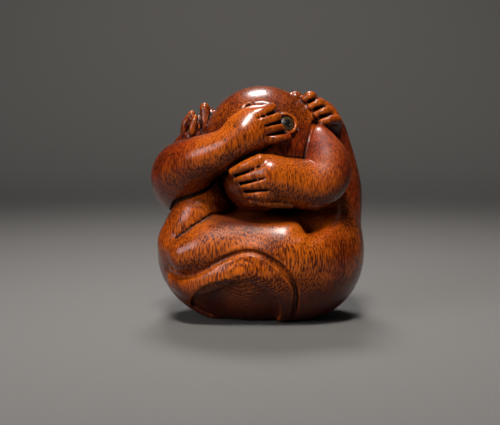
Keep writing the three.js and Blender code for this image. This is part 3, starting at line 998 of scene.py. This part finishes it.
def horn_group():
    """Node group of the horn: streaks out from the middle of the eye, and a darker middle."""
    tree, given, result = new_group(
        "Horn",
        {"Colour": COLOUR, "Middle": COLOUR},
        {"Colour": COLOUR, "Roughness": VALUE},
    )
    grain = millimetres(tree, node(tree, "ShaderNodeTexCoord"))
    offset = node(tree, "ShaderNodeVectorMath", operation="SUBTRACT")
    plug(tree, offset.inputs[0], grain)
    offset.inputs[1].default_value = EYE_AT
    away = node(tree, "ShaderNodeVectorMath", operation="LENGTH")
    plug(tree, away.inputs[0], offset.outputs[0])
    way = node(tree, "ShaderNodeVectorMath", operation="NORMALIZE")
    plug(tree, way.inputs[0], offset.outputs[0])
    streaks = noise(tree, way.outputs[0], scale=5.0, detail=3.0)
    dark = spread(tree, away.outputs["Value"], HORN_MIDDLE)
    dark = maths(tree, "ADD", dark, spread(tree, streaks, HORN_STREAK))
    plug(tree, result.inputs["Colour"], mixed(tree, dark, given.outputs["Colour"], given.outputs["Middle"]))
    plug(tree, result.inputs["Roughness"], spread(tree, streaks, HORN_ROUGHNESS))
    return tree


def new_material(name):
    """A material, its node tree and its shader."""
    material = bpy.data.materials.new(name)
    material.use_nodes = True
    return material, material.node_tree, material.node_tree.nodes["Principled BSDF"]


def wood_material(colours):
    """Lacquered wood: the grain under a clear coat."""
    material, tree, shader = new_material("Lacquered wood")
    group = node(tree, "ShaderNodeGroup", node_tree=wood_group())
    group.inputs["Light"].default_value = (*colours.light, 1.0)
    group.inputs["Red"].default_value = (*colours.red, 1.0)
    group.inputs["Dark"].default_value = (*colours.dark, 1.0)
    group.inputs["Pore"].default_value = (*colours.pore, 1.0)
    for label, attribute in (("Hollow", "hollow"), ("Proud", "proud")):
        value = node(tree, "ShaderNodeAttribute", attribute_name=attribute)
        plug(tree, group.inputs[label], value.outputs["Fac"])
    plug(tree, shader.inputs["Base Color"], group.outputs["Colour"])
    plug(tree, shader.inputs["Roughness"], group.outputs["Roughness"])
    bump = node(tree, "ShaderNodeBump")
    bump.inputs["Strength"].default_value = 0.3
    bump.inputs["Distance"].default_value = 0.00005
    plug(tree, bump.inputs["Height"], group.outputs["Height"])
    plug(tree, shader.inputs["Normal"], bump.outputs["Normal"])
    plug(tree, shader.inputs["Coat Weight"], group.outputs["Coat"])
    shader.inputs["Coat Roughness"].default_value = 0.12
    shader.inputs["Specular IOR Level"].default_value = 0.28
    return material


def horn_material(name, group, colour, middle):
    """Polished horn, streaked and darker towards the middle of the eye."""
    material, tree, shader = new_material(name)
    streaked = node(tree, "ShaderNodeGroup", node_tree=group)
    streaked.inputs["Colour"].default_value = (*colour, 1.0)
    streaked.inputs["Middle"].default_value = (*middle, 1.0)
    plug(tree, shader.inputs["Base Color"], streaked.outputs["Colour"])
    plug(tree, shader.inputs["Roughness"], streaked.outputs["Roughness"])
    shader.inputs["Specular IOR Level"].default_value = 0.3
    return material


def plain_material(name, colour, roughness):
    """A plain matt surface for the stage."""
    material, _, shader = new_material(name)
    shader.inputs["Base Color"].default_value = (*colour, 1.0)
    shader.inputs["Roughness"].default_value = roughness
    return material


def sweep_object(name, reach, flat, bend):
    """A floor that runs back and curves up into a wall behind, sizes in metres."""
    section = [(-reach, 0.0), (flat, 0.0)]
    for index in range(1, FLOOR_BEND_STEPS + 1):
        angle = math.radians(90.0 * index / FLOOR_BEND_STEPS)
        section.append((flat + bend * math.sin(angle), bend * (1.0 - math.cos(angle))))
    section.append((flat + bend, reach))
    places = []
    for y, z in section:
        places.append((-reach, y, z))
        places.append((reach, y, z))
    faces = [(2 * k, 2 * k + 1, 2 * k + 3, 2 * k + 2) for k in range(len(section) - 1)]
    return mesh_object(name, places, faces)


def soft_light(name, place, target, size, beam, power, colour):
    """A square area light that faces a target, size in metres and beam in degrees."""
    data = bpy.data.lights.new(name, "AREA")
    data.energy = power
    data.size = size
    data.color = colour
    data.spread = math.radians(beam)
    lamp = bpy.data.objects.new(name, data)
    lamp.location = place
    lamp.rotation_euler = (Vector(target) - Vector(place)).to_track_quat("-Z", "Y").to_euler()
    bpy.context.scene.collection.objects.link(lamp)


class NETSUKE_PG_carving(bpy.types.PropertyGroup):
    """How finely the figure is carved."""

    step: bpy.props.FloatProperty(
        name="Detail",
        description="Spacing of the grid the surface is taken from, in millimetres",
        default=0.3,
        min=0.1,
        max=1.0,
    )


class NETSUKE_PG_colours(bpy.types.PropertyGroup):
    """Colours of the wood and the inlay."""

    # The light wood is also laid on proud edges as rubbed wear and painted highlight.
    light: bpy.props.FloatVectorProperty(
        name="Light wood",
        description="The wood between the growth rings",
        subtype="COLOR",
        default=(0.57, 0.12, 0.005),
        min=0.0,
        max=1.0,
    )
    # The red is also laid on the flanks as painted shade.
    red: bpy.props.FloatVectorProperty(
        name="Red wood",
        description="The redder wood, mostly of the upper parts",
        subtype="COLOR",
        default=(0.23, 0.022, 0.002),
        min=0.0,
        max=1.0,
    )
    # The dark wood is also the colour of the painted shade.
    dark: bpy.props.FloatVectorProperty(
        name="Dark wood",
        description="The wood of the growth rings and streaks",
        subtype="COLOR",
        default=(0.06, 0.007, 0.0015),
        min=0.0,
        max=1.0,
    )
    # The pore colour is also the dirt and painted shade in the cuts.
    pore: bpy.props.FloatVectorProperty(
        name="Pores",
        description="The pores and the dirt in the cuts",
        subtype="COLOR",
        default=(0.012, 0.003, 0.0015),
        min=0.0,
        max=1.0,
    )
    iris: bpy.props.FloatVectorProperty(
        name="Iris",
        description="The horn ring of the eye",
        subtype="COLOR",
        default=(0.075, 0.043, 0.018),
        min=0.0,
        max=1.0,
    )
    pupil: bpy.props.FloatVectorProperty(
        name="Pupil",
        description="The dark middle of the eye",
        subtype="COLOR",
        default=(0.004, 0.003, 0.003),
        min=0.0,
        max=1.0,
    )


class NETSUKE_PG_stage(bpy.types.PropertyGroup):
    """The floor and the light."""

    floor: bpy.props.FloatVectorProperty(
        name="Floor",
        description="Colour of the floor",
        subtype="COLOR",
        default=(0.118, 0.1135, 0.1075),
        min=0.0,
        max=1.0,
    )
    sky: bpy.props.FloatProperty(
        name="Sky",
        description="Strength of the even light from all round",
        default=0.02,
        min=0.0,
        max=5.0,
    )


class NETSUKE_OT_figure(bpy.types.Operator):
    """Carve the monkey from one piece of wood"""

    bl_idname = "netsuke.figure"
    bl_label = "Carve figure"
    bl_options = {"REGISTER", "UNDO"}

    def execute(self, context):
        figure = carved_object("monkey_carving", context.scene.netsuke_carving.step)
        figure.data.materials.append(wood_material(context.scene.netsuke_colours))
        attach(figure, "root")
        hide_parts("monkey")
        return {"FINISHED"}


class NETSUKE_OT_eye(bpy.types.Operator):
    """Set the horn ring and the pupil of the eye"""

    bl_idname = "netsuke.eye"
    bl_label = "Inlay eye"
    bl_options = {"REGISTER", "UNDO"}

    def execute(self, context):
        colours = context.scene.netsuke_colours
        horn = horn_group()
        iris = turned_object("iris_inlay", dome_profile(**IRIS), IRIS_SIDES)
        iris.data.materials.append(horn_material("Pale horn", horn, colours.iris, colours.pupil))
        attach(iris, "root")
        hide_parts("eye_iris")
        pupil = turned_object("pupil_inlay", dome_profile(**PUPIL), PUPIL_SIDES)
        pupil.data.materials.append(horn_material("Dark horn", horn, colours.pupil, colours.pupil))
        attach(pupil, "root")
        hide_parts("eye_pupil")
        return {"FINISHED"}


class NETSUKE_OT_stage(bpy.types.Operator):
    """Lay the floor and set the lights and the camera"""

    bl_idname = "netsuke.stage"
    bl_label = "Set stage"
    bl_options = {"REGISTER", "UNDO"}

    def execute(self, context):
        settings = context.scene.netsuke_stage
        floor = sweep_object("floor", **FLOOR)
        floor.data.materials.append(plain_material("Pale floor", settings.floor, FLOOR_ROUGHNESS))
        world = bpy.data.worlds.new("Soft room")
        world.use_nodes = True
        background = world.node_tree.nodes["Background"]
        background.inputs["Color"].default_value = ROOM_COLOUR
        background.inputs["Strength"].default_value = settings.sky
        context.scene.world = world
        for name, values in LIGHTS.items():
            soft_light(name, *values)
        context.scene.view_settings.view_transform = "Standard"
        data = bpy.data.cameras.new("camera")
        data.sensor_width = FILM_WIDTH
        data.lens = FILM_WIDTH * FOCAL_PIXELS / PICTURE_PIXELS
        data.clip_start = CLIP_START
        camera = bpy.data.objects.new("camera", data)
        camera.location = [value * MM for value in CAMERA_AT]
        camera.rotation_euler = (math.radians(90.0) - math.atan(LEVEL_PIXELS / FOCAL_PIXELS), 0.0, 0.0)
        context.scene.collection.objects.link(camera)
        context.scene.camera = camera
        return {"FINISHED"}


class NETSUKE_PT_panel(bpy.types.Panel):
    """The netsuke's sizes, colours and builders"""

    bl_idname = "NETSUKE_PT_panel"
    bl_label = "Netsuke"
    bl_space_type = "VIEW_3D"
    bl_region_type = "UI"
    bl_category = "Netsuke"

    def draw(self, context):
        layout = self.layout
        layout.prop(context.scene.netsuke_carving, "step")
        for name in ("light", "red", "dark", "pore", "iris", "pupil"):
            layout.prop(context.scene.netsuke_colours, name)
        for name in ("floor", "sky"):
            layout.prop(context.scene.netsuke_stage, name)
        layout.operator("netsuke.figure")
        layout.operator("netsuke.eye")
        layout.operator("netsuke.stage")


CLASSES = (
    NETSUKE_PG_carving,
    NETSUKE_PG_colours,
    NETSUKE_PG_stage,
    NETSUKE_OT_figure,
    NETSUKE_OT_eye,
    NETSUKE_OT_stage,
    NETSUKE_PT_panel,
)


def register():
    """Registers the add-on's classes and its settings on the scene."""
    for one in CLASSES:
        bpy.utils.register_class(one)
    bpy.types.Scene.netsuke_carving = bpy.props.PointerProperty(type=NETSUKE_PG_carving)
    bpy.types.Scene.netsuke_colours = bpy.props.PointerProperty(type=NETSUKE_PG_colours)
    bpy.types.Scene.netsuke_stage = bpy.props.PointerProperty(type=NETSUKE_PG_stage)


def unregister():
    """Removes the settings and the classes."""
    del bpy.types.Scene.netsuke_stage
    del bpy.types.Scene.netsuke_colours
    del bpy.types.Scene.netsuke_carving
    for one in reversed(CLASSES):
        bpy.utils.unregister_class(one)


def main():
    """Builds the netsuke on its stage."""
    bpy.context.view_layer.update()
    register()
    bpy.ops.netsuke.figure()
    bpy.ops.netsuke.eye()
    bpy.ops.netsuke.stage()
    bpy.context.view_layer.update()


if __name__ == "__main__":
    main()
